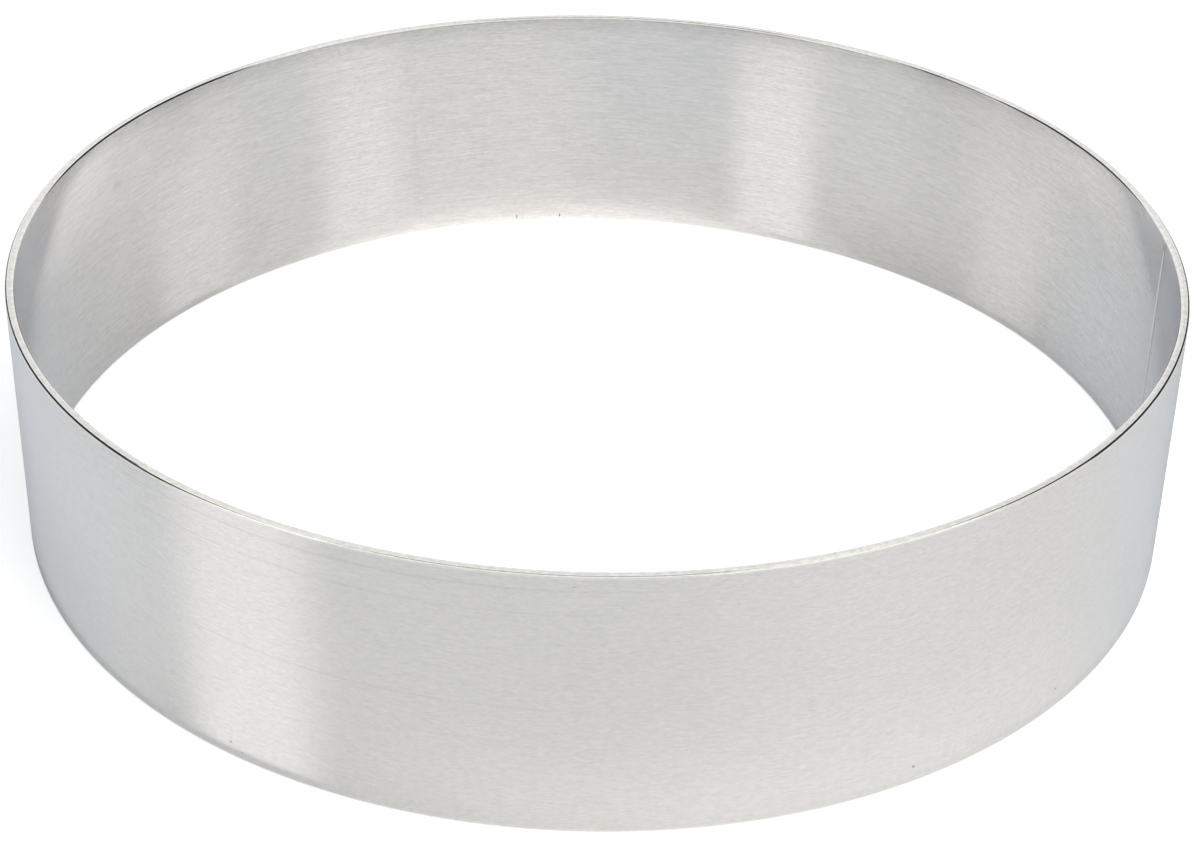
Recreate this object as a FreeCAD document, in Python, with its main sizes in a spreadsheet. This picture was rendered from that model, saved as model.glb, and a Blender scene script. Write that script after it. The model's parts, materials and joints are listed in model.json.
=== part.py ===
# Pastry ring: one strip of stainless steel, rolled to a true circle and butt-welded end to end.
#
# The ring is open at the top and the bottom, and stands on its bottom rim. Its outer edges are
# rounded, and its inner edges are only broken with a small bevel. The weld is ground flush on
# the outside. On the inside its line stays in view, as a shallow hollow down the wall.
#
# Frame: millimetres, +Z up along the ring's axis, origin at the centre of the bottom rim's plane.
import FreeCAD, Part
import Sketcher
import math
import os

TOLERANCE = 0.01

# alias, value and what it is: lengths in millimetres, angles in degrees
SIZES = (
    ("outer_diameter", 260.0, "across the outside of the band"),
    ("band_height", 60.0, "rim to rim"),
    ("wall_thickness", 2.0, "thickness of the rolled strip"),
    ("outer_edge_radius", 0.5, "rounding of both outer edges"),
    ("inner_edge_bevel", 0.35, "bevel that breaks both inner edges"),
    ("seam_angle", 3.0, "from +X towards +Y, where the strip's ends meet"),
    ("seam_width", 1.0, "width of the hollow along the weld, on the inner wall"),
    ("seam_depth", 0.06, "depth of that hollow at its middle"),
)

# sizes that follow from the ones above
WORKED_OUT = (
    ("outer_radius", "=outer_diameter / 2", "outer wall"),
    ("inner_radius", "=outer_radius - wall_thickness", "inner wall"),
    ("seam_tool_radius", "=(seam_width ^ 2 / 4 + seam_depth ^ 2) / (2 * seam_depth)",
     "circle whose edge bites the hollow into the wall"),
    ("seam_tool_offset", "=inner_radius + seam_depth - seam_tool_radius",
     "that circle's centre, from the ring's axis"),
)


def make_sheet(doc):
    """Put the sizes in a sheet, one row each, under their aliases."""
    sheet = doc.addObject("Spreadsheet::Sheet", "Sizes")
    for row, (alias, value, meaning) in enumerate(SIZES + WORKED_OUT, start=1):
        sheet.set(f"A{row}", alias)
        sheet.set(f"B{row}", str(value))
        sheet.set(f"C{row}", meaning)
        sheet.setAlias(f"B{row}", alias)
    doc.recompute()
    return sheet


def origin_feature(body, role):
    """Find one of the body's own origin planes or axes."""
    for feature in body.Origin.OriginFeatures:
        if feature.Role == role:
            return feature
    raise RuntimeError(f"{body.Label} has no {role}")


def new_sketch(body, name, role):
    """Start a sketch on one of the body's origin planes."""
    sketch = body.newObject("Sketcher::SketchObject", name)
    sketch.AttachmentSupport = [(origin_feature(body, role), "")]
    sketch.MapMode = "FlatFace"
    return sketch


def bind(sketch, name, expression):
    """Give the newest constraint a name, and tie it to the sheet."""
    sketch.renameConstraint(sketch.ConstraintCount - 1, name)
    sketch.setExpression(f"Constraints.{name}", expression)


def draw_section(body, sheet):
    """Sketch the strip's section: a rectangle beside the axis, standing on the base plane."""
    sketch = new_sketch(body, "strip_section", "XZ_Plane")
    inner, outer, top = sheet.inner_radius, sheet.outer_radius, sheet.band_height
    corners = [
        FreeCAD.Vector(inner, 0, 0),
        FreeCAD.Vector(outer, 0, 0),
        FreeCAD.Vector(outer, top, 0),
        FreeCAD.Vector(inner, top, 0),
    ]
    bottom, outside, rim, inside = range(4)
    for side in (bottom, outside, rim, inside):
        sketch.addGeometry(Part.LineSegment(corners[side], corners[(side + 1) % 4]))
    start, end, axis_or_origin = 1, 2, -1
    for side in (bottom, outside, rim, inside):
        sketch.addConstraint(Sketcher.Constraint("Coincident", side, end, (side + 1) % 4, start))
    for side in (bottom, rim):
        sketch.addConstraint(Sketcher.Constraint("Horizontal", side))
    for side in (outside, inside):
        sketch.addConstraint(Sketcher.Constraint("Vertical", side))
    sketch.addConstraint(Sketcher.Constraint("PointOnObject", bottom, start, axis_or_origin))
    sketch.addConstraint(Sketcher.Constraint("DistanceX", axis_or_origin, start, bottom, end, outer))
    bind(sketch, "to_outer_wall", "Sizes.outer_radius")
    sketch.addConstraint(Sketcher.Constraint("DistanceX", bottom, start, bottom, end, outer - inner))
    bind(sketch, "across_wall", "Sizes.wall_thickness")
    sketch.addConstraint(Sketcher.Constraint("DistanceY", outside, start, outside, end, top))
    bind(sketch, "rim_to_rim", "Sizes.band_height")
    return sketch


def roll_band(body, section):
    """Turn the section once round the axis, which closes the strip into a ring."""
    band = body.newObject("PartDesign::Revolution", "rolled_band")
    band.Profile = section
    band.ReferenceAxis = (section, ["V_Axis"])
    band.Angle = 360.0
    return band


def rim_edges(shape, radius):
    """Name the round edges of this radius: one at the bottom rim and one at the top."""
    names = []
    for number, edge in enumerate(shape.Edges, start=1):
        if isinstance(edge.Curve, Part.Circle) and abs(edge.Curve.Radius - radius) < TOLERANCE:
            names.append(f"Edge{number}")
    if len(names) != 2:
        raise RuntimeError(f"expected 2 round edges of radius {radius}, found {len(names)}")
    return names


def round_outer_edges(body, base, sheet):
    """Round the two outer edges, as the strip's drawn edges are."""
    rounding = body.newObject("PartDesign::Fillet", "outer_edge_rounding")
    rounding.Base = (base, rim_edges(base.Shape, sheet.outer_radius))
    rounding.setExpression("Radius", "Sizes.outer_edge_radius")
    return rounding


def break_inner_edges(body, base, sheet):
    """Take the burr off the two inner edges with a small bevel."""
    bevel = body.newObject("PartDesign::Chamfer", "inner_edge_bevel")
    bevel.Base = (base, rim_edges(base.Shape, sheet.inner_radius))
    bevel.setExpression("Size", "Sizes.inner_edge_bevel")
    return bevel


def cut_seam(body, sheet):
    """Leave the weld's shallow hollow down the inner wall, from rim to rim."""
    sketch = new_sketch(body, "seam_section", "XY_Plane")
    across = sheet.seam_tool_offset
    turn = math.radians(sheet.seam_angle)
    origin = FreeCAD.Vector(0, 0, 0)
    centre = FreeCAD.Vector(across * math.cos(turn), across * math.sin(turn), 0)
    normal = FreeCAD.Vector(0, 0, 1)
    tool = sketch.addGeometry(Part.Circle(centre, normal, sheet.seam_tool_radius))
    spoke = sketch.addGeometry(Part.LineSegment(origin, centre), True)
    start, end, middle, x_axis = 1, 2, 3, -1
    sketch.addConstraint(Sketcher.Constraint("Coincident", spoke, start, x_axis, start))
    sketch.addConstraint(Sketcher.Constraint("Coincident", spoke, end, tool, middle))
    sketch.addConstraint(Sketcher.Constraint("Radius", tool, sheet.seam_tool_radius))
    bind(sketch, "tool_radius", "Sizes.seam_tool_radius")
    sketch.addConstraint(Sketcher.Constraint("Distance", spoke, across))
    bind(sketch, "tool_offset", "Sizes.seam_tool_offset")
    sketch.addConstraint(Sketcher.Constraint("Angle", x_axis, start, spoke, start, turn))
    bind(sketch, "seam_turn", "Sizes.seam_angle * 1 deg")
    seam = body.newObject("PartDesign::Pocket", "weld_seam")
    seam.Profile = sketch
    seam.Type = "ThroughAll"
    seam.Midplane = True
    return seam


def make_ring(doc, sheet):
    """Make the whole ring: rolled band, rounded and bevelled edges, weld seam."""
    body = doc.addObject("PartDesign::Body", "Ring")
    body.Label = "ring"
    section = draw_section(body, sheet)
    band = roll_band(body, section)
    doc.recompute()
    rounding = round_outer_edges(body, band, sheet)
    doc.recompute()
    bevel = break_inner_edges(body, rounding, sheet)
    doc.recompute()
    whole = bevel.Shape.Volume
    seam = cut_seam(body, sheet)
    body.Tip = seam
    body.Placement = FreeCAD.Placement()
    doc.recompute()
    if not body.Shape.Volume < whole:
        raise RuntimeError("the weld seam cuts nothing")
    return body


def check(doc, pieces):
    """Stop if any object failed, or if a piece isn't one sound solid."""
    for item in doc.Objects:
        if "Invalid" in item.State or "Error" in item.State:
            raise RuntimeError(f"{item.Label} failed: {item.State}")
    for piece in pieces:
        if piece.Shape.isNull() or not piece.Shape.isValid():
            raise RuntimeError(f"{piece.Label} has no valid shape")
        if len(piece.Shape.Solids) != 1:
            raise RuntimeError(f"{piece.Label} is not one solid")


def write(pieces):
    """Write each piece's shape under its own name."""
    os.makedirs("parts", exist_ok=True)
    for piece in pieces:
        piece.Shape.exportStep(f"parts/{piece.Label}.step")
        box = piece.Shape.optimalBoundingBox()
        print(piece.Label, f"{box.XLength:.2f} x {box.YLength:.2f} x {box.ZLength:.2f} mm,",
              f"{piece.Shape.Volume / 1000:.2f} cm3")


def main():
    doc = FreeCAD.newDocument("PastryRing")
    sheet = make_sheet(doc)
    pieces = [make_ring(doc, sheet)]
    check(doc, pieces)
    write(pieces)


main()
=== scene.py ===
import json
import math

import bmesh
import bpy
from bpy.props import FloatProperty, FloatVectorProperty, IntProperty, PointerProperty
from mathutils import Matrix, Quaternion, Vector


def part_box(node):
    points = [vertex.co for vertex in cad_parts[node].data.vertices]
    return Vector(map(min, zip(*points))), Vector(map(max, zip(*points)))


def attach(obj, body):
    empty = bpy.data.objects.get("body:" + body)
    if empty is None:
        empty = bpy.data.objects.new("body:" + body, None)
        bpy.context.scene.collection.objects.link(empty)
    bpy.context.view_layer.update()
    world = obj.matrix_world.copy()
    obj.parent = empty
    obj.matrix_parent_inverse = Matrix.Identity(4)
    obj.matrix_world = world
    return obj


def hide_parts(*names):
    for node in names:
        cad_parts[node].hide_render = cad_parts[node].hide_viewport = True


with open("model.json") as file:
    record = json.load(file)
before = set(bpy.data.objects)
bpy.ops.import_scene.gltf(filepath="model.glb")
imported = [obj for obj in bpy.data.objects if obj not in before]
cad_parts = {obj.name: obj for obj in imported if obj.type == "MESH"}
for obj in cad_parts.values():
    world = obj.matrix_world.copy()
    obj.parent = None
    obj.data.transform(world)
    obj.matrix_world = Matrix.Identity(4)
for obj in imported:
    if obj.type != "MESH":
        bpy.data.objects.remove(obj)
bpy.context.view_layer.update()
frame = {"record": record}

bl_info = {
    "name": "Pastry ring",
    "version": (1, 0, 0),
    "blender": (4, 5, 0),
    "location": "View3D > Sidebar > Pastry ring",
    "description": "Rolls, welds and brushes a stainless steel pastry ring, and sets up its studio",
    "category": "Mesh",
}

NODE = "ring"
PIECE = "steel_band"
STRIP_MAP = "OFBake"
MM = 0.001
CLOSE = 1e-6
MERGE = 5e-6
WELD_STEPS = 10
OUTSIDE, INSIDE = 1, -1
LOW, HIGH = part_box(NODE)
BORE = next(m for m in frame["record"]["mounts"] if m["name"] == "inside")
OUTER_RADIUS = HIGH.x
INNER_RADIUS = BORE["dims"]["r_mm"] * MM
BAND_HEIGHT = HIGH.z - LOW.z
CARD_DISTANCE = 0.8
SHEEN_GAP = 1 * MM
SHEEN_CUTS = 15
# Card glows, seen only in reflections: black paints shade, grey a dim ceiling, white softboxes.
BLACK, GREY, WHITE = (0.04, 0.045, 0.05), (0.35, 0.36, 0.37), (1.45, 1.43, 1.4)


class BandShape(bpy.types.PropertyGroup):
    """Sizes of the rolled strip"""

    outer_radius: FloatProperty(
        name="Outer radius", description="From the axis to the outer wall",
        default=OUTER_RADIUS, unit="LENGTH")
    wall: FloatProperty(
        name="Wall", description="Thickness of the strip",
        default=OUTER_RADIUS - INNER_RADIUS, unit="LENGTH")
    height: FloatProperty(
        name="Height", description="From rim to rim",
        default=BAND_HEIGHT, unit="LENGTH")
    edge_radius: FloatProperty(
        name="Outer edge radius", description="Rounding of the two outer edges",
        default=0.5 * MM, unit="LENGTH")
    edge_bevel: FloatProperty(
        name="Inner edge bevel", description="Bevel that breaks the two inner edges",
        default=0.35 * MM, unit="LENGTH")
    weld_turn: FloatProperty(
        name="Weld angle", description="Where the strip's ends meet, from +X towards +Y",
        default=math.radians(3.0), subtype="ANGLE")
    weld_width: FloatProperty(
        name="Weld width", description="Width of the hollow along the weld",
        default=1.0 * MM, unit="LENGTH")
    weld_depth: FloatProperty(
        name="Weld depth", description="Depth of that hollow at its middle",
        default=0.06 * MM, unit="LENGTH")
    steps: IntProperty(
        name="Steps round", description="Facets round the ring",
        default=960, min=96)
    rows: IntProperty(
        name="Rows", description="Rows of faces up each wall",
        default=12, min=1)


class SteelFinish(bpy.types.PropertyGroup):
    """Colour, brushing and wear of the steel"""

    colour: FloatVectorProperty(
        name="Steel", description="Colour of the bare metal",
        default=(0.66, 0.648, 0.639), subtype="COLOR", size=3)
    rim_colour: FloatVectorProperty(
        name="Rims and edges", description="Colour of the worn rims and edges",
        default=(0.685, 0.672, 0.64), subtype="COLOR", size=3)
    edge_tint: FloatVectorProperty(
        name="Grazing tint", description="How much of the light is kept at grazing angles",
        default=(0.9, 0.924, 0.965), subtype="COLOR", size=3)
    stain: FloatVectorProperty(
        name="Stain", description="Colour of the faint brown spots",
        default=(0.42, 0.33, 0.2), subtype="COLOR", size=3)
    roughness: FloatProperty(
        name="Roughness", description="Roughness of the brushed walls",
        default=0.2, min=0.0, max=1.0)
    rim_roughness: FloatProperty(
        name="Rim roughness", description="Roughness of the flat rims",
        default=0.18, min=0.0, max=1.0)
    edge_roughness: FloatProperty(
        name="Edge roughness", description="Roughness of the four edges, rubbed smooth",
        default=0.08, min=0.0, max=1.0)
    stroke_length: FloatProperty(
        name="Stroke length", description="Length of one brush stroke, round the ring",
        default=2.4 * MM, unit="LENGTH")
    stroke_width: FloatProperty(
        name="Stroke width", description="Width of one brush stroke",
        default=0.6 * MM, unit="LENGTH")
    stroke_depth: FloatProperty(
        name="Stroke depth", description="Depth of the brush strokes",
        default=0.004 * MM, unit="LENGTH")


class StudioSetup(bpy.types.PropertyGroup):
    """Floor, lamps and camera"""

    floor_colour: FloatVectorProperty(
        name="Floor", description="Colour of the pale floor",
        default=(0.78, 0.78, 0.78), subtype="COLOR", size=3)
    floor_lift: FloatProperty(
        name="Floor lift", description="Glow that lifts the lit floor past white to the camera",
        default=0.52, min=0.0)
    far_lift: FloatProperty(
        name="Far lift", description="Further glow of the far floor, so that no horizon shows",
        default=0.35, min=0.0)
    mirrored_lift: FloatProperty(
        name="Mirrored lift", description="Glow of the floor where the steel mirrors it",
        default=0.21, min=0.0)
    wall_glow: FloatProperty(
        name="Wall glow", description="Light that the wall throws on the floor outside it",
        default=0.19, min=0.0)
    inner_glow: FloatProperty(
        name="Inner glow", description="Light that the wall throws on the floor inside it",
        default=0.68, min=0.0)
    inner_lift: FloatProperty(
        name="Inner lift", description="Even light that bounces round inside the ring",
        default=0.06, min=0.0)
    back_shade: FloatProperty(
        name="Back shade", description="Shade on the floor beside and behind the ring",
        default=0.2, min=0.0)
    lit_colour: FloatVectorProperty(
        name="Lit colour", description="Tint of the floor's glow where the wall throws light",
        default=(1.0, 0.97, 0.935), subtype="COLOR", size=3)
    shade_colour: FloatVectorProperty(
        name="Shade colour", description="Tint of the floor's glow in the wall's shade",
        default=(0.88, 0.97, 1.04), subtype="COLOR", size=3)
    ambient: FloatProperty(
        name="Ambient", description="Strength of the even light from all round",
        default=0.47, min=0.0)
    ambient_colour: FloatVectorProperty(
        name="Ambient colour", description="Slightly cool, as shade is beside a warm lamp",
        default=(0.86, 0.95, 1.0), subtype="COLOR", size=3)
    focal_length: FloatProperty(
        name="Focal length", description="Lens of the camera, in millimetres",
        default=79.1)
    distance: FloatProperty(
        name="Distance", description="From the camera to the foot of the ring's axis",
        default=0.62, unit="LENGTH")
    elevation: FloatProperty(
        name="Elevation", description="Height of the camera above the floor, as an angle",
        default=math.radians(32.6), subtype="ANGLE")
    aim: FloatVectorProperty(
        name="Aim", description="Point on the plane through the axis that the camera looks at",
        default=(0.0012, 0.0, 0.0122), subtype="XYZ", unit="LENGTH", size=3)
    roll: FloatProperty(
        name="Roll", description="Tilt of the camera about its own line of sight",
        default=math.radians(1.25), subtype="ANGLE")


def start_mesh(name):
    """Add an empty mesh object at the origin, alone selected and in edit mode."""
    bpy.ops.object.select_all(action="DESELECT")
    bpy.ops.object.add(type="MESH", enter_editmode=True, location=(0, 0, 0))
    piece = bpy.context.object
    piece.name = name
    piece.data.name = name
    return piece


def select(piece, kind, wanted):
    """Select the mesh elements of one kind for which wanted(element) is true, and no others."""
    bpy.ops.mesh.select_mode(type=kind)
    bpy.ops.mesh.select_all(action="DESELECT")
    mesh = bmesh.from_edit_mesh(piece.data)
    elements = {"VERT": mesh.verts, "EDGE": mesh.edges, "FACE": mesh.faces}[kind]
    for element in elements:
        if wanted(element):
            element.select_set(True)
    mesh.select_flush(True)
    bmesh.update_edit_mesh(piece.data)


def draw_section(piece, shape):
    """Draw the strip's section as an outline beside the axis, on its four worked corners."""
    inner = shape.outer_radius - shape.wall
    middle = Vector((inner + shape.wall / 2, 0, shape.height / 2))
    bpy.ops.mesh.primitive_plane_add(size=1, location=middle, rotation=(math.radians(90), 0, 0))
    bpy.ops.transform.resize(
        value=(shape.wall, 1, shape.height), center_override=middle)
    select(piece, "VERT", lambda v: v.co.x > middle.x)
    bpy.ops.mesh.bevel(offset=shape.edge_radius, segments=8, affect="VERTICES", profile=0.5)
    select(piece, "VERT", lambda v: v.co.x < inner + CLOSE)
    bpy.ops.mesh.bevel(offset=shape.edge_bevel, segments=1, affect="VERTICES")
    select(piece, "VERT", lambda v: v.co.x < inner + shape.edge_bevel + CLOSE)
    bpy.ops.mesh.bevel(
        offset=shape.edge_bevel / 5, segments=2, affect="VERTICES", profile=0.5)
    bpy.ops.mesh.select_all(action="SELECT")
    bpy.ops.mesh.delete(type="ONLY_FACE")
    select(piece, "EDGE", lambda e: e.calc_length() > shape.height / 2)
    bpy.ops.mesh.subdivide(number_cuts=shape.rows - 1)


def roll_strip(piece, shape):
    """Roll the section round the axis, spin it on across the weld, and give the weld's middle."""
    weld = shape.weld_width / (shape.outer_radius - shape.wall)
    bpy.ops.object.mode_set(mode="OBJECT")
    bpy.ops.object.modifier_add(type="SCREW")
    roll = piece.modifiers[-1]
    roll.axis = "Z"
    roll.angle = 2 * math.pi - weld
    roll.steps = roll.render_steps = shape.steps
    bpy.ops.object.modifier_apply(modifier=roll.name)
    bpy.ops.object.mode_set(mode="EDIT")
    select(piece, "VERT", lambda v: abs(turn_between(v.co, -weld)) < weld / 4)
    bpy.ops.mesh.spin(steps=WELD_STEPS, angle=-weld, center=(0, 0, 0), axis=(0, 0, 1))
    bpy.ops.mesh.select_all(action="SELECT")
    bpy.ops.mesh.remove_doubles(threshold=MERGE)
    bpy.ops.mesh.normals_make_consistent(inside=False)
    return -weld / 2


def turn_between(place, start):
    """Angle round the axis from start to a place, between minus and plus half a turn."""
    angle = math.atan2(place.y, place.x) - start
    return (angle + math.pi) % (2 * math.pi) - math.pi


def sink_weld(piece, shape, middle):
    """Press the weld's shallow hollow into the inner wall."""
    inner = shape.outer_radius - shape.wall
    half = shape.weld_width / inner / 2
    mesh = bmesh.from_edit_mesh(piece.data)
    for vert in mesh.verts:
        across = turn_between(vert.co, middle) / half
        radius = vert.co.xy.length
        if abs(across) < 1 and radius < inner + CLOSE:
            deeper = 1 + shape.weld_depth * (1 - across ** 2) / radius
            vert.co.x *= deeper
            vert.co.y *= deeper
    bmesh.update_edit_mesh(piece.data)


def map_strip(piece, shape):
    """Lay the strip out flat in its own map: round the ring across, and round its section up."""
    mesh = piece.data
    layer = mesh.uv_layers.new(name=STRIP_MAP)
    inner = shape.outer_radius - shape.wall
    girth = 2 * (shape.height + shape.wall)
    for face in mesh.polygons:
        middle = math.atan2(face.center.y, face.center.x) - shape.weld_turn
        middle %= 2 * math.pi
        for corner in face.loop_indices:
            place = mesh.vertices[mesh.loops[corner].vertex_index].co
            turn = turn_between(place, shape.weld_turn + middle)
            radius = place.xy.length
            from_outside = min(max(shape.outer_radius - radius, 0), shape.wall)
            if face.normal.z > 0.5:
                up = shape.height + from_outside
            elif face.normal.z < -0.5:
                up = 2 * shape.height + shape.wall + (shape.wall - from_outside)
            elif radius > inner + shape.wall / 2:
                up = place.z
            else:
                up = shape.height + shape.wall + (shape.height - place.z)
            layer.data[corner].uv = ((middle + turn) / (2 * math.pi), up / girth)


class MESH_OT_roll_pastry_band(bpy.types.Operator):
    """Roll and weld the steel strip into the ring"""

    bl_idname = "mesh.roll_pastry_band"
    bl_label = "Roll the band"
    bl_options = {"REGISTER", "UNDO"}

    def execute(self, context):
        shape = context.scene.band_shape
        piece = start_mesh(PIECE)
        draw_section(piece, shape)
        middle = roll_strip(piece, shape)
        sink_weld(piece, shape, middle)
        bpy.ops.object.mode_set(mode="OBJECT")
        piece.data.transform(Matrix.Rotation(shape.weld_turn - middle, 4, "Z"))
        map_strip(piece, shape)
        bpy.ops.object.shade_smooth_by_angle(angle=math.radians(30))
        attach(piece, "root")
        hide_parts(NODE)
        return {"FINISHED"}


def new_group(name, inputs, outputs):
    """Start a shader node group with named inputs (with their defaults) and outputs."""
    group = bpy.data.node_groups.new(name, "ShaderNodeTree")
    for socket, kind, default in inputs:
        made = group.interface.new_socket(socket, in_out="INPUT", socket_type=kind)
        if default is not None:
            made.default_value = default
    for socket, kind in outputs:
        group.interface.new_socket(socket, in_out="OUTPUT", socket_type=kind)
    return group


def add_node(tree, kind, **values):
    """Add a node and set its properties."""
    node = tree.nodes.new(kind)
    for name, value in values.items():
        setattr(node, name, value)
    return node


def group_ends(group):
    """Add a group's own input and output nodes."""
    return add_node(group, "NodeGroupInput"), add_node(group, "NodeGroupOutput")


def feed(tree, value, socket):
    """Give a socket a number or a colour, or link it from another socket."""
    if isinstance(value, bpy.types.NodeSocket):
        tree.links.new(value, socket)
    elif isinstance(value, (int, float)):
        socket.default_value = value
    else:
        socket.default_value = (*value, 1)


def calculate(tree, operation, *values):
    """Add a Math node on numbers or sockets. Gives its output."""
    node = add_node(tree, "ShaderNodeMath", operation=operation)
    for socket, value in zip(node.inputs, values):
        feed(tree, value, socket)
    return node.outputs[0]


def fade(tree, value, start, end):
    """1 up to start, 0 from end on, and a smooth step between."""
    node = add_node(tree, "ShaderNodeMapRange", interpolation_type="SMOOTHSTEP")
    for name, number in (
            ("Value", value), ("From Min", start), ("From Max", end), ("To Min", 1.0),
            ("To Max", 0.0)):
        feed(tree, number, node.inputs[name])
    return node.outputs["Result"]


def vector_length(tree, vector):
    """Length of a vector."""
    node = add_node(tree, "ShaderNodeVectorMath", operation="LENGTH")
    tree.links.new(vector, node.inputs[0])
    return node.outputs["Value"]


def mix_colours(tree, factor, first, second):
    """Mix two colours, each a triple of numbers or a socket."""
    node = add_node(tree, "ShaderNodeMix", data_type="RGBA")
    for value, socket in zip((factor, first, second), (node.inputs[0], *node.inputs[6:8])):
        feed(tree, value, socket)
    return node.outputs[2]


def soft_noise(tree, place, scale):
    """Plain noise in space, with two octaves of detail."""
    node = add_node(tree, "ShaderNodeTexNoise", noise_dimensions="3D")
    node.inputs["Scale"].default_value = scale
    node.inputs["Detail"].default_value = 2.0
    tree.links.new(place, node.inputs["Vector"])
    return node.outputs["Fac"]


def brush_grain_group():
    """Short wavy strokes round the ring. They pass the weld without a break."""
    group = new_group(
        "brush_grain",
        (("Place", "NodeSocketVector", None), ("Up", "NodeSocketFloat", 0.0),
         ("Length", "NodeSocketFloat", 0.0024), ("Width", "NodeSocketFloat", 0.0006),
         ("Wander", "NodeSocketFloat", 0.0005), ("Detail", "NodeSocketFloat", 2.0)),
        (("Stroke", "NodeSocketFloat"),))
    start, end = group_ends(group)
    along = add_node(group, "ShaderNodeVectorMath", operation="DIVIDE")
    lengths = add_node(group, "ShaderNodeCombineXYZ")
    for socket in lengths.inputs:
        group.links.new(start.outputs["Length"], socket)
    group.links.new(start.outputs["Place"], along.inputs[0])
    group.links.new(lengths.outputs[0], along.inputs[1])
    drift = add_node(group, "ShaderNodeTexNoise", noise_dimensions="3D")
    drift.inputs["Scale"].default_value = 1.0
    drift.inputs["Detail"].default_value = 1.0
    group.links.new(along.outputs[0], drift.inputs["Vector"])
    shift = calculate(group, "SUBTRACT", drift.outputs["Fac"], 0.5)
    shift = calculate(group, "MULTIPLY", shift, start.outputs["Wander"])
    level = calculate(group, "ADD", start.outputs["Up"], shift)
    level = calculate(group, "DIVIDE", level, start.outputs["Width"])
    parts = add_node(group, "ShaderNodeSeparateXYZ")
    group.links.new(along.outputs[0], parts.inputs[0])
    joined = add_node(group, "ShaderNodeCombineXYZ")
    group.links.new(parts.outputs["X"], joined.inputs["X"])
    group.links.new(parts.outputs["Y"], joined.inputs["Y"])
    group.links.new(level, joined.inputs["Z"])
    stroke = add_node(group, "ShaderNodeTexNoise", noise_dimensions="3D")
    stroke.inputs["Scale"].default_value = 1.0
    stroke.inputs["Roughness"].default_value = 0.6
    group.links.new(start.outputs["Detail"], stroke.inputs["Detail"])
    group.links.new(joined.outputs[0], stroke.inputs["Vector"])
    group.links.new(stroke.outputs["Fac"], end.inputs["Stroke"])
    return group


def strip_mark_group():
    """One soft oval mark on the strip: a line when it is long and narrow, or else a speck."""
    group = new_group(
        "strip_mark",
        (("Round", "NodeSocketFloat", 0.0), ("Up", "NodeSocketFloat", 0.0),
         ("At Round", "NodeSocketFloat", 0.0), ("At Up", "NodeSocketFloat", 0.0),
         ("Half Length", "NodeSocketFloat", 0.01), ("Half Width", "NodeSocketFloat", 0.0002),
         ("Core", "NodeSocketFloat", 0.3)),
        (("Mask", "NodeSocketFloat"),))
    start, end = group_ends(group)
    across = calculate(group, "SUBTRACT", start.outputs["Round"], start.outputs["At Round"])
    across = calculate(group, "DIVIDE", across, start.outputs["Half Length"])
    above = calculate(group, "SUBTRACT", start.outputs["Up"], start.outputs["At Up"])
    above = calculate(group, "DIVIDE", above, start.outputs["Half Width"])
    joined = add_node(group, "ShaderNodeCombineXYZ")
    group.links.new(across, joined.inputs["X"])
    group.links.new(above, joined.inputs["Y"])
    reach = vector_length(group, joined.outputs[0])
    mask = fade(group, reach, start.outputs["Core"], 1.0)
    group.links.new(mask, end.inputs["Mask"])
    return group


def strip_edges_group(shape):
    """Masks along the strip's section: its four edges, its flat rims and its inner wall."""
    group = new_group(
        "strip_edges",
        (("Up", "NodeSocketFloat", 0.0), ("Spread", "NodeSocketFloat", 0.0003)),
        (("Edge", "NodeSocketFloat"), ("Rim", "NodeSocketFloat"), ("Inside", "NodeSocketFloat")))
    start, end = group_ends(group)
    up = start.outputs["Up"]
    girth = 2 * (shape.height + shape.wall)
    nearest = calculate(group, "SUBTRACT", girth, up)
    nearest = calculate(group, "MINIMUM", nearest, up)
    for corner in (shape.height, shape.height + shape.wall, girth - shape.wall):
        away = calculate(group, "ABSOLUTE", calculate(group, "SUBTRACT", up, corner))
        nearest = calculate(group, "MINIMUM", nearest, away)
    limit = calculate(group, "ADD", start.outputs["Spread"], 0.3 * MM)
    group.links.new(fade(group, nearest, start.outputs["Spread"], limit), end.inputs["Edge"])
    half = shape.wall / 2
    rims = (shape.height + half, girth - half)
    away = [calculate(group, "ABSOLUTE", calculate(group, "SUBTRACT", up, rim)) for rim in rims]
    rim = fade(group, calculate(group, "MINIMUM", *away), half - 0.1 * MM, half)
    group.links.new(rim, end.inputs["Rim"])
    wall = shape.height + shape.wall + shape.height / 2
    away = calculate(group, "ABSOLUTE", calculate(group, "SUBTRACT", up, wall))
    group.links.new(
        fade(group, away, shape.height / 2 - 0.1 * MM, shape.height / 2), end.inputs["Inside"])
    return group


def use_group(tree, group, **values):
    """Place a node group; each value is a number or a socket, named with _ for a space."""
    node = add_node(tree, "ShaderNodeGroup", node_tree=group)
    for name, value in values.items():
        feed(tree, value, node.inputs[name.replace("_", " ")])
    return node


def on_outside(shape, from_front, up):
    """Place on the flat strip of a point outside: degrees from the front to the left, height."""
    turn = math.radians(270 - from_front) - shape.weld_turn
    return turn * shape.outer_radius, up


def on_inside(shape, from_back, up):
    """Place on the flat strip of a point inside: degrees from the back to the left, height."""
    turn = math.radians(90 + from_back) - shape.weld_turn
    return turn * shape.outer_radius, 2 * shape.height + shape.wall - up


def at_weld(shape, beside, up):
    """Place on the flat strip of a point inside: millimetres beside the weld, height."""
    return beside * MM, 2 * shape.height + shape.wall - up


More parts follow.
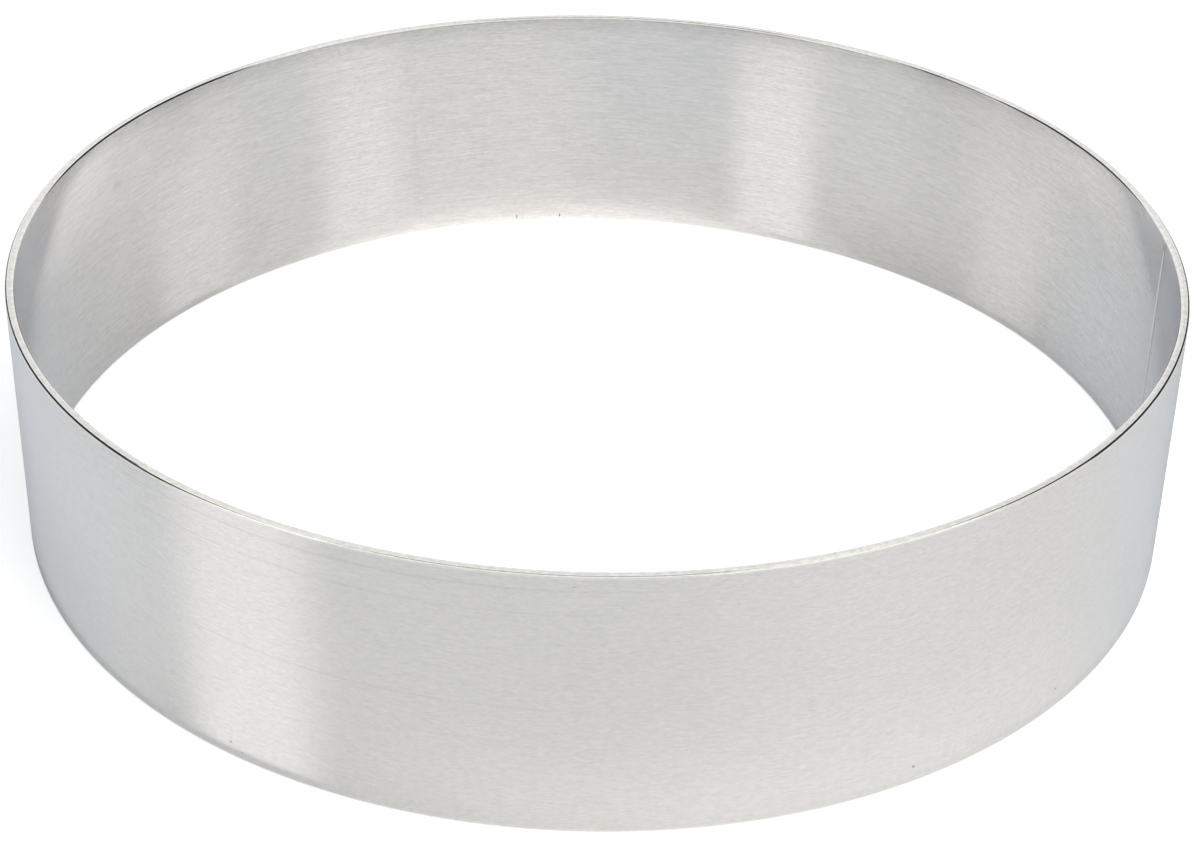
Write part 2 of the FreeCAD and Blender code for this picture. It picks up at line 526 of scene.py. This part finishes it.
# Marks on the strip. Each row has its wall, its place round that wall, then its height, half
# length and half width in millimetres, and how strong it is.
LINES = (
    (on_outside, 22, 56.6, 92, 0.45, 0.07),
    (on_outside, 26, 51.2, 78, 0.35, 0.05),
    (on_outside, 20, 29.2, 76, 0.35, 0.055),
    (on_outside, 4, 40.5, 30, 0.3, 0.02),
    (on_outside, 14, 21.0, 40, 0.3, 0.025),
    (on_outside, -128, 44.0, 70, 0.35, 0.05),
    (on_outside, 150, 17.5, 60, 0.35, 0.045),
    (on_inside, -2, 31.0, 34, 0.3, 0.03),
    (on_inside, 168, 40.0, 60, 0.35, 0.045),
)
SPECKS = (
    (on_outside, 1.4, 57.6, 0.6, 0.2, 0.14),
    (on_outside, -12.0, 52.8, 0.4, 0.22, 0.1),
    (on_outside, -29.7, 4.0, 0.5, 0.35, 0.35),
    (on_outside, -47.5, 5.0, 0.4, 0.3, 0.3),
    (on_outside, 33.2, 3.5, 0.5, 0.3, 0.3),
    (on_outside, 32.0, 1.9, 0.45, 0.3, 0.3),
    (on_outside, 171, 12.0, 0.5, 0.3, 0.35),
    (on_inside, 10.2, 1.6, 0.25, 0.7, 0.35),
    (on_inside, 4.9, 1.6, 0.25, 0.7, 0.35),
)
STAINS = (
    (at_weld, 0.6, 58.1, 1.1, 1.4, 0.8),
    (on_inside, 66, 46.0, 2.6, 1.4, 0.2),
    (on_inside, 44, 38.0, 2.2, 1.2, 0.1),
)


def add_marks(tree, group, shape, along, up, marks):
    """Place one mark for each row; give the sum of their masks, each times its strength."""
    total = 0.0
    for wall, turn, height, half_length, half_width, strength in marks:
        at_round, at_up = wall(shape, turn, height * MM)
        mark = use_group(
            tree, group, Round=along, Up=up, At_Round=at_round, At_Up=at_up,
            Half_Length=half_length * MM, Half_Width=half_width * MM)
        total = calculate(tree, "MULTIPLY_ADD", mark.outputs["Mask"], strength, total)
    return total


def strip_place(tree, shape):
    """How far round the strip and how far up its section a point is, in metres."""
    strip = add_node(tree, "ShaderNodeUVMap", uv_map=STRIP_MAP)
    flat = add_node(tree, "ShaderNodeMapping")
    flat.inputs["Scale"].default_value = (
        2 * math.pi * shape.outer_radius, 2 * (shape.height + shape.wall), 1)
    tree.links.new(strip.outputs["UV"], flat.inputs["Vector"])
    parts = add_node(tree, "ShaderNodeSeparateXYZ")
    tree.links.new(flat.outputs[0], parts.inputs[0])
    return parts.outputs["X"], parts.outputs["Y"]


def brush_strokes(tree, finish, place, up):
    """Three grains: the strokes themselves, finer ones, and longer streaks."""
    group = brush_grain_group()
    sizes = (
        (finish.stroke_length, finish.stroke_width, 0.5 * MM),
        (finish.stroke_length * 0.5, finish.stroke_width * 0.6, 0.3 * MM),
        (9 * MM, 0.5 * MM, 0.9 * MM))
    return [
        use_group(
            tree, group, Place=place, Up=up, Length=length, Width=width, Wander=wander,
        ).outputs["Stroke"]
        for length, width, wander in sizes]


def metal_tone(tree, grains, masks, place, darker):
    """Brightness of the metal, about 1: grain, clouds, marks, and brighter rims and edges."""
    tone = 1.0
    depths = ((0.14, 0.1), (0.27, 0.02), (0.07, 0.2))
    for grain, (everywhere, more_inside) in zip(grains, depths):
        depth = calculate(tree, "MULTIPLY_ADD", masks["Inside"], more_inside, everywhere)
        grain = calculate(tree, "SUBTRACT", grain, 0.5)
        tone = calculate(tree, "MULTIPLY_ADD", grain, depth, tone)
    cloud = calculate(tree, "SUBTRACT", soft_noise(tree, place, 34.0), 0.5)
    tone = calculate(tree, "MULTIPLY_ADD", cloud, 0.04, tone)
    for marks in darker:
        tone = calculate(tree, "SUBTRACT", tone, marks)
    # Rims and edges are made lighter than the walls, the rims most, with a fine speckle.
    tone = calculate(tree, "MULTIPLY_ADD", masks["Edge"], 0.06, tone)
    rim_speckle = calculate(tree, "MULTIPLY_ADD", soft_noise(tree, place, 700.0), 0.4, -0.05)
    return calculate(tree, "MULTIPLY_ADD", masks["Rim"], rim_speckle, tone)


def metal_colour(tree, finish, masks, tone, stains):
    """Colour of the metal at this brightness, other on rims and edges, with its brown spots."""
    # Rims and edges take a lighter, warmer colour than the walls.
    lighter = calculate(tree, "MAXIMUM", masks["Rim"], masks["Edge"])
    toned = add_node(tree, "ShaderNodeVectorMath", operation="SCALE")
    tree.links.new(mix_colours(tree, lighter, finish.colour, finish.rim_colour), toned.inputs[0])
    tree.links.new(tone, toned.inputs["Scale"])
    return mix_colours(tree, stains, toned.outputs[0], finish.stain)


def metal_roughness(tree, finish, masks, fine, specks):
    """Roughness of the metal: lively on the walls, and smoother on rims and edges."""
    rough = calculate(tree, "MULTIPLY_ADD", fine, 0.08, finish.roughness - 0.04)
    rough = calculate(tree, "ADD", rough, specks)
    change = finish.rim_roughness - finish.roughness
    rough = calculate(tree, "MULTIPLY_ADD", masks["Rim"], change, rough)
    rubbed = add_node(tree, "ShaderNodeMix", data_type="FLOAT")
    tree.links.new(masks["Edge"], rubbed.inputs["Factor"])
    tree.links.new(rough, rubbed.inputs["A"])
    rubbed.inputs["B"].default_value = finish.edge_roughness
    return rubbed.outputs[0]


def stroke_normal(tree, finish, masks, strokes):
    """Normal of the brushed walls; the rubbed edges have no strokes."""
    kept = calculate(tree, "SUBTRACT", 1.0, masks["Edge"])
    bump = add_node(tree, "ShaderNodeBump")
    bump.inputs["Strength"].default_value = 1.0
    bump.inputs["Distance"].default_value = finish.stroke_depth
    tree.links.new(calculate(tree, "MULTIPLY", strokes, kept), bump.inputs["Height"])
    return bump.outputs[0]


def brushed_steel(finish, shape):
    """Stainless steel, brushed round the ring, with rubbed edges, faint lines and a few marks."""
    steel = bpy.data.materials.new("brushed_stainless")
    steel.use_nodes = True
    tree = steel.node_tree
    shader = tree.nodes["Principled BSDF"]
    shader.inputs["Metallic"].default_value = 1.0
    shader.inputs["Specular Tint"].default_value = (*finish.edge_tint, 1)
    shader.inputs["Anisotropic"].default_value = 1.0
    shader.inputs["Anisotropic Rotation"].default_value = 0.25
    tangent = add_node(tree, "ShaderNodeTangent", direction_type="UV_MAP", uv_map=STRIP_MAP)
    place = add_node(tree, "ShaderNodeTexCoord").outputs["Object"]
    along, up = strip_place(tree, shape)
    grains = brush_strokes(tree, finish, place, up)
    strokes, fine, _ = grains
    mark_group = strip_mark_group()
    lines, specks, stains = (
        add_marks(tree, mark_group, shape, along, up, marks) for marks in (LINES, SPECKS, STAINS))
    masks = use_group(tree, strip_edges_group(shape), Up=up, Spread=0.45 * MM).outputs
    tone = metal_tone(tree, grains, masks, place, (lines, specks))
    for name, value in (
            ("Tangent", tangent.outputs["Tangent"]),
            ("Base Color", metal_colour(tree, finish, masks, tone, stains)),
            ("Roughness", metal_roughness(tree, finish, masks, fine, specks)),
            ("Normal", stroke_normal(tree, finish, masks, strokes))):
        tree.links.new(value, shader.inputs[name])
    return steel


class MATERIAL_OT_brush_pastry_band(bpy.types.Operator):
    """Give the band its brushed steel"""

    bl_idname = "material.brush_pastry_band"
    bl_label = "Brush the steel"
    bl_options = {"REGISTER", "UNDO"}

    def execute(self, context):
        piece = bpy.data.objects[PIECE]
        steel = brushed_steel(context.scene.steel_finish, context.scene.band_shape)
        piece.data.materials.append(steel)
        return {"FINISHED"}


def add_lamp(name, place, aim, size, radiance):
    """Hang a softbox: an area lamp of this width and height whose face has this radiance."""
    width, height = size
    bpy.ops.object.light_add(type="AREA", location=place)
    lamp = bpy.context.object
    lamp.name = name
    lamp.data.shape = "RECTANGLE"
    lamp.data.size = width
    lamp.data.size_y = height
    lamp.data.energy = radiance * math.pi * width * height
    lamp.rotation_mode = "QUATERNION"
    lamp.rotation_quaternion = (Vector(aim) - Vector(place)).to_track_quat("-Z", "Y")
    return lamp


def polar(azimuth, distance, height):
    """A place round the ring: azimuth in degrees from the camera's side, towards the left."""
    turn = math.radians(azimuth)
    return Vector((-math.sin(turn) * distance, -math.cos(turn) * distance, height))


def add_card(name, place, size, colour):
    """Stand an upright glowing card at a place, facing the axis. Only reflections show it: it casts
    no shadow and lights no matt surface, so it paints a reflection into the steel.
    """
    place = Vector(place)
    bpy.ops.mesh.primitive_plane_add(size=1, location=place)
    card = bpy.context.object
    card.name = name
    card.rotation_mode = "QUATERNION"
    card.rotation_quaternion = Vector((-place.x, -place.y, 0)).to_track_quat("Z", "Y")
    card.scale = (*size, 1)
    matt = bpy.data.materials.new(name)
    matt.use_nodes = True
    matt.node_tree.nodes.clear()
    glow = add_node(matt.node_tree, "ShaderNodeEmission")
    glow.inputs["Color"].default_value = (*colour, 1)
    out = add_node(matt.node_tree, "ShaderNodeOutputMaterial")
    matt.node_tree.links.new(glow.outputs[0], out.inputs["Surface"])
    card.data.materials.append(matt)
    card.visible_camera = False
    card.visible_diffuse = False
    card.visible_shadow = False
    return card


def add_sheen(studio, name, side, turns, run, colour, cover):
    """Raise a soft-edged glowing sheet from the wall's foot, which the wall mirrors between two
    turns: a painted highlight, or a painted shade where its colour is dark.
    """
    reach, rise = run
    first, last = turns
    eye = Vector((0, -math.cos(studio.elevation))) * studio.distance
    radius = (OUTER_RADIUS if side == OUTSIDE else INNER_RADIUS) + side * SHEEN_GAP
    card = add_card(name, (0, -1, 0), (1, 1), colour)
    card.location = (0, 0, 0)
    card.rotation_quaternion = Quaternion()
    bpy.ops.object.mode_set(mode="EDIT")
    bpy.ops.mesh.subdivide(number_cuts=SHEEN_CUTS)
    bpy.ops.object.mode_set(mode="OBJECT")
    for vert in card.data.vertices:
        across, along = vert.co.x + 0.5, vert.co.y + 0.5
        foot = polar(first + (last - first) * across, radius, SHEEN_GAP)
        outwards = foot.xy.normalized()
        seen = (eye - foot.xy).normalized()
        away = 2 * seen.dot(outwards) * outwards - seen
        vert.co = foot + Vector((*(away * reach), rise)) * along
    tree = card.active_material.node_tree
    across = add_node(tree, "ShaderNodeSeparateXYZ")
    tree.links.new(add_node(tree, "ShaderNodeTexCoord").outputs["UV"], across.inputs[0])
    from_middle = calculate(tree, "MULTIPLY_ADD", across.outputs["X"], 2.0, -1.0)
    from_middle = calculate(tree, "ABSOLUTE", from_middle)
    kept = calculate(tree, "MULTIPLY", fade(tree, from_middle, 0.3, 1.0), cover)
    clear = add_node(tree, "ShaderNodeBsdfTransparent")
    both = add_node(tree, "ShaderNodeMixShader")
    tree.links.new(kept, both.inputs["Fac"])
    tree.links.new(clear.outputs[0], both.inputs[1])
    tree.links.new(tree.nodes["Emission"].outputs[0], both.inputs[2])
    tree.links.new(both.outputs[0], tree.nodes["Material Output"].inputs["Surface"])
    return card


def beside_wall(tree, place, side, azimuth, reach):
    """Three masks of the floor along the outer or the inner side of the wall.

    They say how near the wall a place is, how far the wall there faces the azimuth (from -1 to
    1), and whether the place is on that side at all.
    """
    wall = (OUTER_RADIUS + INNER_RADIUS) / 2
    away = calculate(tree, "MULTIPLY_ADD", vector_length(tree, place), side, -wall * side)
    here = calculate(tree, "GREATER_THAN", away, 0.0)
    near = calculate(tree, "MULTIPLY", fade(tree, away, 3 * MM, reach), here)
    towards = add_node(tree, "ShaderNodeVectorMath", operation="DOT_PRODUCT")
    tree.links.new(place, towards.inputs[0])
    towards.inputs[1].default_value = polar(azimuth, side / wall, 0)
    return near, towards.outputs["Value"], here


def light_past(tree, facing, start, slope):
    """Light that grows from 0 where the wall faces the lamps more than start."""
    light = calculate(tree, "MULTIPLY_ADD", facing, slope, -slope * start)
    return calculate(tree, "MAXIMUM", light, 0.0)


def shade_short_of(tree, facing, start, slope, lowest):
    """Shade that falls from 0 to lowest where the wall faces the lamps less than start."""
    shade = calculate(tree, "MULTIPLY_ADD", facing, slope, -slope * start)
    shade = calculate(tree, "MINIMUM", shade, 0.0)
    return calculate(tree, "MAXIMUM", shade, lowest)


def mirrored_glow(tree, studio, place):
    """Strength and tint of the floor's glow in the steel: warm where the wall throws light."""
    near, facing, _ = beside_wall(tree, place, OUTSIDE, -20, 36 * MM)
    light = light_past(tree, facing, 0.706, 3.4)
    shade = shade_short_of(tree, facing, 0.38, 2, -0.65)
    outside = calculate(tree, "MULTIPLY", near, calculate(tree, "ADD", light, shade))
    near, frontwards, _ = beside_wall(tree, place, OUTSIDE, 0, 120 * MM)
    shade = shade_short_of(tree, frontwards, 0.2, 1.5, -1)
    behind = calculate(tree, "MULTIPLY", near, shade)
    near, facing_within, within = beside_wall(tree, place, INSIDE, -8, 50 * MM)
    light = light_past(tree, facing_within, 0.833, 6)
    shade = shade_short_of(tree, facing_within, 0.78, 3, -0.22)
    inside = calculate(tree, "MULTIPLY", near, calculate(tree, "ADD", light, shade))
    strength = studio.mirrored_lift
    for mask, amount in (
            (outside, studio.wall_glow), (behind, studio.back_shade),
            (inside, studio.inner_glow), (within, studio.inner_lift)):
        strength = calculate(tree, "MULTIPLY_ADD", mask, amount, strength)
    warmth = calculate(tree, "MULTIPLY_ADD", facing, 0.6, 0.4)
    warmth_within = calculate(tree, "MULTIPLY_ADD", facing_within, 1.5, -0.2)
    change = calculate(tree, "SUBTRACT", warmth_within, warmth)
    warmth = calculate(tree, "MULTIPLY_ADD", within, change, warmth)
    return strength, mix_colours(tree, warmth, studio.shade_colour, studio.lit_colour)


def seen_lift(tree, by_camera, by_reflection):
    """Strength to add where the camera looks, and where a reflection or glass looks."""
    path = add_node(tree, "ShaderNodeLightPath")
    mirrored = calculate(
        tree, "MAXIMUM", path.outputs["Is Glossy Ray"], path.outputs["Is Transmission Ray"])
    mirrored = calculate(tree, "MULTIPLY", mirrored, by_reflection)
    return calculate(tree, "MULTIPLY_ADD", path.outputs["Is Camera Ray"], by_camera, mirrored)


def lay_floor(studio):
    """A wide pale floor, lit just past white where no shadow falls."""
    bpy.ops.mesh.primitive_plane_add(size=30, location=(0, 0, -0.05 * MM))
    floor = bpy.context.object
    floor.name = "floor"
    paper = bpy.data.materials.new("pale_floor")
    paper.use_nodes = True
    tree = paper.node_tree
    tree.nodes.clear()
    matt = add_node(tree, "ShaderNodeBsdfDiffuse")
    matt.inputs["Color"].default_value = (*studio.floor_colour, 1)
    place = add_node(tree, "ShaderNodeTexCoord").outputs["Object"]
    near = fade(tree, vector_length(tree, place), 0.35, 0.9)
    white = calculate(
        tree, "MULTIPLY_ADD", near, -studio.far_lift, studio.floor_lift + studio.far_lift)
    mirrored, tint = mirrored_glow(tree, studio, place)
    total = matt.outputs[0]
    for strength, colour in (
            (seen_lift(tree, white, 0.0), (1, 1, 1)), (seen_lift(tree, 0.0, mirrored), tint)):
        glow = add_node(tree, "ShaderNodeEmission")
        feed(tree, strength, glow.inputs["Strength"])
        feed(tree, colour, glow.inputs["Color"])
        both = add_node(tree, "ShaderNodeAddShader")
        tree.links.new(total, both.inputs[0])
        tree.links.new(glow.outputs[0], both.inputs[1])
        total = both.outputs[0]
    out = add_node(tree, "ShaderNodeOutputMaterial")
    tree.links.new(total, out.inputs["Surface"])
    floor.data.materials.append(paper)
    return floor


def fill_world(studio):
    """White where it is seen, and an even soft light on everything else."""
    world = bpy.data.worlds.new("studio")
    world.use_nodes = True
    bpy.context.scene.world = world
    tree = world.node_tree
    background = tree.nodes["Background"]
    seen = seen_lift(tree, 1.0, 1.0)
    colour = mix_colours(tree, seen, studio.ambient_colour, (1, 1, 1))
    tree.links.new(colour, background.inputs["Color"])
    strength = calculate(tree, "MULTIPLY_ADD", seen, 1.0 - studio.ambient, studio.ambient)
    tree.links.new(strength, background.inputs["Strength"])


def place_camera(studio):
    """Look down at the ring from the front."""
    away = Vector((0, -math.cos(studio.elevation), math.sin(studio.elevation)))
    place = away * studio.distance
    bpy.ops.object.camera_add(location=place)
    camera = bpy.context.object
    camera.name = "camera"
    camera.data.lens = studio.focal_length
    camera.data.sensor_width = 36
    camera.rotation_mode = "QUATERNION"
    level = (Vector(studio.aim) - place).to_track_quat("-Z", "Y")
    camera.rotation_quaternion = level @ Quaternion((0, 0, 1), studio.roll)
    bpy.context.scene.camera = camera


# Soft glowing sheets that only reflections show: painted highlights in the steel, and painted shade
# # where the colour is dark. Side of the wall, first and last turn along it in degrees, reach
# # along the floor and rise above it, colour, and how much they cover.
SHEENS = (
    ("outer_left_sheen", OUTSIDE, (21, 41), (0.22, 0.0), (1.22, 1.22, 1.22), 1.0),
    ("outer_side_sheen", OUTSIDE, (33, 78), (0.2, 0.001), (1.12, 1.12, 1.13), 0.42),
    ("outer_right_sheen", OUTSIDE, (0, -80), (0.22, 0.0), (1.2, 1.19, 1.17), 0.37),
    ("outer_right_shade", OUTSIDE, (-67, -84), (0.2, 0.001), (0.62, 0.63, 0.62), 0.7),
    ("inner_right_sheen", INSIDE, (194, 208.5), (0.05, 0.045), (1.15, 1.14, 1.12), 1.0),
    ("inner_left_sheen", INSIDE, (158, 143), (0.05, 0.045), (1.12, 1.11, 1.09), 0.9),
    ("inner_broad_sheen", INSIDE, (150, 184), (0.048, 0.044), (1.15, 1.13, 1.1), 0.35),
    ("inner_far_left_sheen", INSIDE, (136, 118), (0.046, 0.042), (1.15, 1.13, 1.1), 0.5),
    ("inner_far_right_sheen", INSIDE, (226, 242), (0.052, 0.05), (1.15, 1.14, 1.13), 0.36),
    # A dim, cool sheet: painted shade on the far right of the inner wall.
    ("inner_right_tint", INSIDE, (240, 268), (0.044, 0.04), (0.84, 0.89, 0.95), 0.35),
)
# Upright cards that only reflections show: the softboxes paint bright reflections, the flags dark
# # ones (painted shade). Azimuth, width, lower and upper edge, and colour.
CARDS = (
    ("left_softbox", 58, 0.38, 0.1, 0.7, WHITE),
    ("left_flag", 91, 0.48, 0.12, 0.75, BLACK),
    ("left_high_flag", 92, 0.36, 0.75, 1.2, BLACK),
    ("left_back_flag", 127, 0.56, 0.1, 0.9, BLACK),
    ("right_softbox", -44, 0.8, 0.1, 0.5, WHITE),
    ("right_flag", -103, 0.33, 0.1, 1.0, BLACK),
    ("right_back_flag", -130, 0.56, 0.03, 1.25, BLACK),
)


class SCENE_OT_set_pastry_studio(bpy.types.Operator):
    """Lay the floor, hang the lamps and place the camera"""

    bl_idname = "scene.set_pastry_studio"
    bl_label = "Set up the studio"
    bl_options = {"REGISTER", "UNDO"}

    def execute(self, context):
        studio = context.scene.studio_setup
        lay_floor(studio)
        fill_world(studio)
        centre = (0, 0, BAND_HEIGHT / 2)
        overhead = add_lamp("overhead_softbox", (0, -0.05, 1.3), centre, (1.6, 1.2), 0.7)
        key = add_lamp("key_softbox", polar(-36, 0.38, 0.86), centre, (0.5, 0.5), 4.0)
        key.data.color = (1.0, 0.955, 0.9)
        # The lamps light the floor; the steel doesn't reflect them, and cards and sheets paint its
        # reflections.
        overhead.visible_glossy = key.visible_glossy = False
        for row in SHEENS:
            add_sheen(studio, *row)
        for name, azimuth, width, low, high, colour in CARDS:
            place = polar(azimuth, CARD_DISTANCE, (low + high) / 2)
            add_card(name, place, (width, high - low), colour)
        # A grey card overhead paints a dim reflection, painted shade, mostly on the rounded edges.
        ceiling = add_card("ceiling_card", (-0.09, 0.1, 1.2), (0.71, 0.7), GREY)
        ceiling.rotation_quaternion = Quaternion((1, 0, 0), math.pi)
        place_camera(studio)
        context.scene.view_settings.view_transform = "Standard"
        return {"FINISHED"}


class VIEW3D_PT_pastry_ring(bpy.types.Panel):
    """Steps and settings of the pastry ring"""

    bl_label = "Pastry ring"
    bl_space_type = "VIEW_3D"
    bl_region_type = "UI"
    bl_category = "Pastry ring"

    def draw(self, context):
        for group, step in PANEL_ROWS:
            settings = getattr(context.scene, group)
            for name in settings.bl_rna.properties.keys():
                if name not in ("rna_type", "name"):
                    self.layout.prop(settings, name)
            self.layout.operator(step)


PANEL_ROWS = (
    ("band_shape", MESH_OT_roll_pastry_band.bl_idname),
    ("steel_finish", MATERIAL_OT_brush_pastry_band.bl_idname),
    ("studio_setup", SCENE_OT_set_pastry_studio.bl_idname),
)
CLASSES = (
    BandShape,
    SteelFinish,
    StudioSetup,
    MESH_OT_roll_pastry_band,
    MATERIAL_OT_brush_pastry_band,
    SCENE_OT_set_pastry_studio,
    VIEW3D_PT_pastry_ring,
)


def register():
    for made in CLASSES:
        bpy.utils.register_class(made)
    bpy.types.Scene.band_shape = PointerProperty(type=BandShape)
    bpy.types.Scene.steel_finish = PointerProperty(type=SteelFinish)
    bpy.types.Scene.studio_setup = PointerProperty(type=StudioSetup)


def unregister():
    del bpy.types.Scene.studio_setup
    del bpy.types.Scene.steel_finish
    del bpy.types.Scene.band_shape
    for made in reversed(CLASSES):
        bpy.utils.unregister_class(made)


def main():
    register()
    bpy.ops.mesh.roll_pastry_band()
    bpy.ops.material.brush_pastry_band()
    bpy.ops.scene.set_pastry_studio()


if __name__ == "__main__":
    main()
